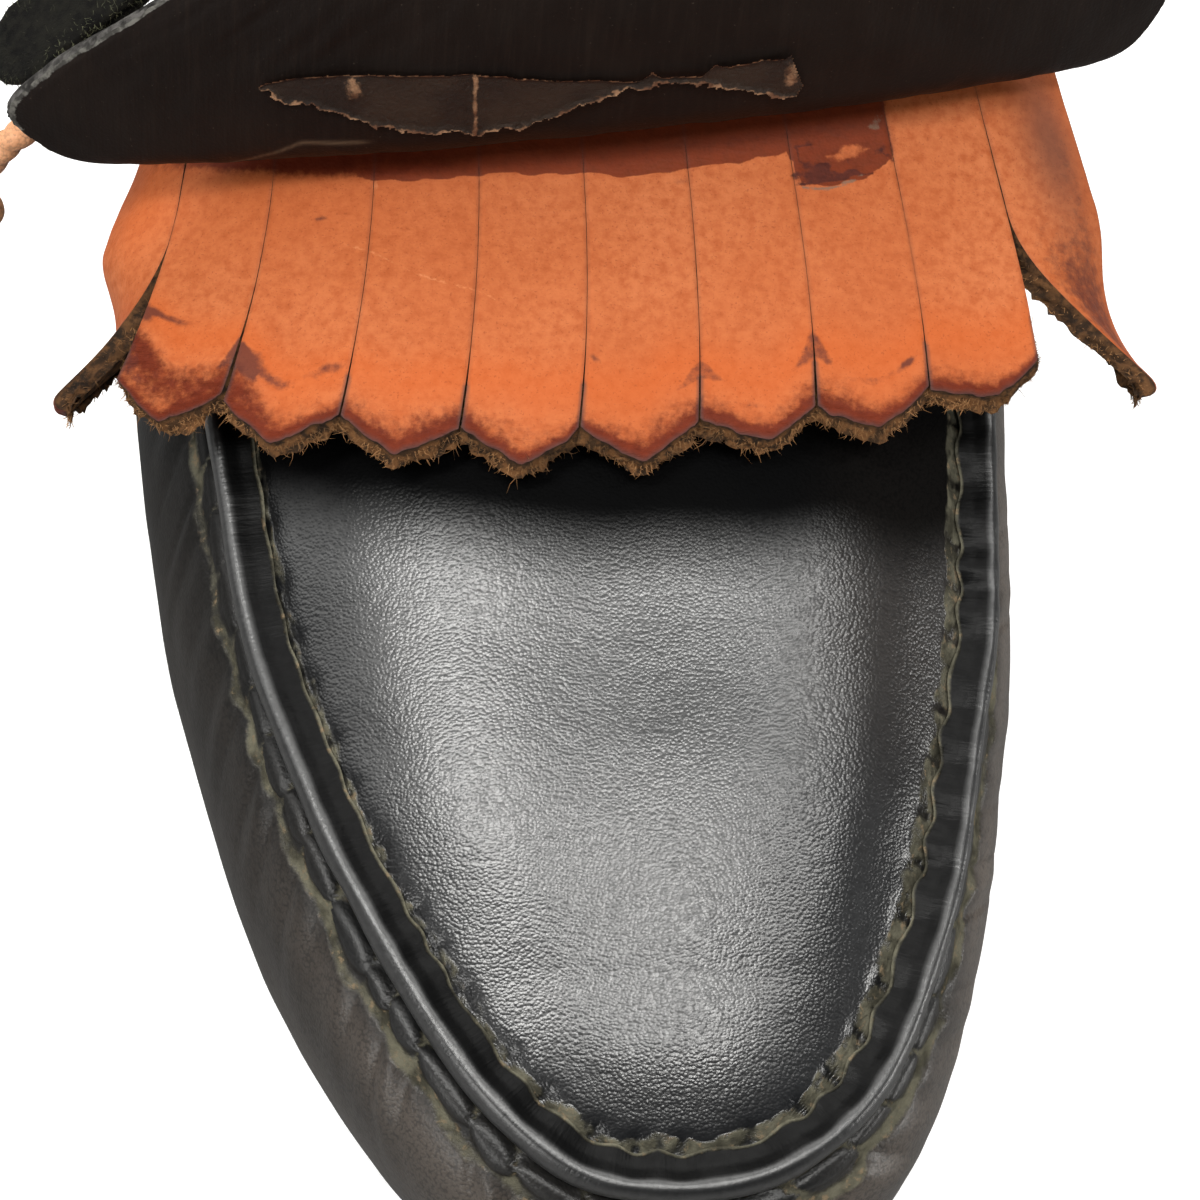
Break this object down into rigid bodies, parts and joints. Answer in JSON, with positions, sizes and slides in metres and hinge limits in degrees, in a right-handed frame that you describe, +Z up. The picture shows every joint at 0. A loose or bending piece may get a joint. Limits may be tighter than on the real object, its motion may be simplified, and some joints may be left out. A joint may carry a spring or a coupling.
{
  "type": "kiltie loafer",
  "caption": "Right-foot moccasin-toe loafer with a raised rolled seam, a fringed kiltie, a folded-up flap, a lace with a tassel, a leather sole and a low stacked heel.",
  "frame": {"origin": "on the ground, in the middle of the heel lift's tread", "axes": "+Z up, -Y towards the toe, +X towards the medial side"},
  "size_m": [0.1337, 0.2998, 0.1038],
  "materials": {
    "sole_leather": "dark edge-dyed leather",
    "heel_leather": "dark edge-dyed leather",
    "lift_rubber": "matt",
    "insole_leather": "smooth, worn",
    "black_leather": "grained, polished, with residue along the seam",
    "tan_leather": "smooth, burnished at the cut ends",
    "flap_leather": "flesh side, smooth and dark",
    "lace_leather": "raw, twisted",
    "black_suede": "napped"
  },
  "bodies": {
    "root": {"outsole": "sole_leather", "heel_stack": "heel_leather", "heel_lift": "lift_rubber", "insole": "insole_leather", "upper": "black_leather", "kiltie": "tan_leather", "flap": "flap_leather", "lace": "lace_leather", "tassel": "black_suede"}
  },
  "joints": []
}
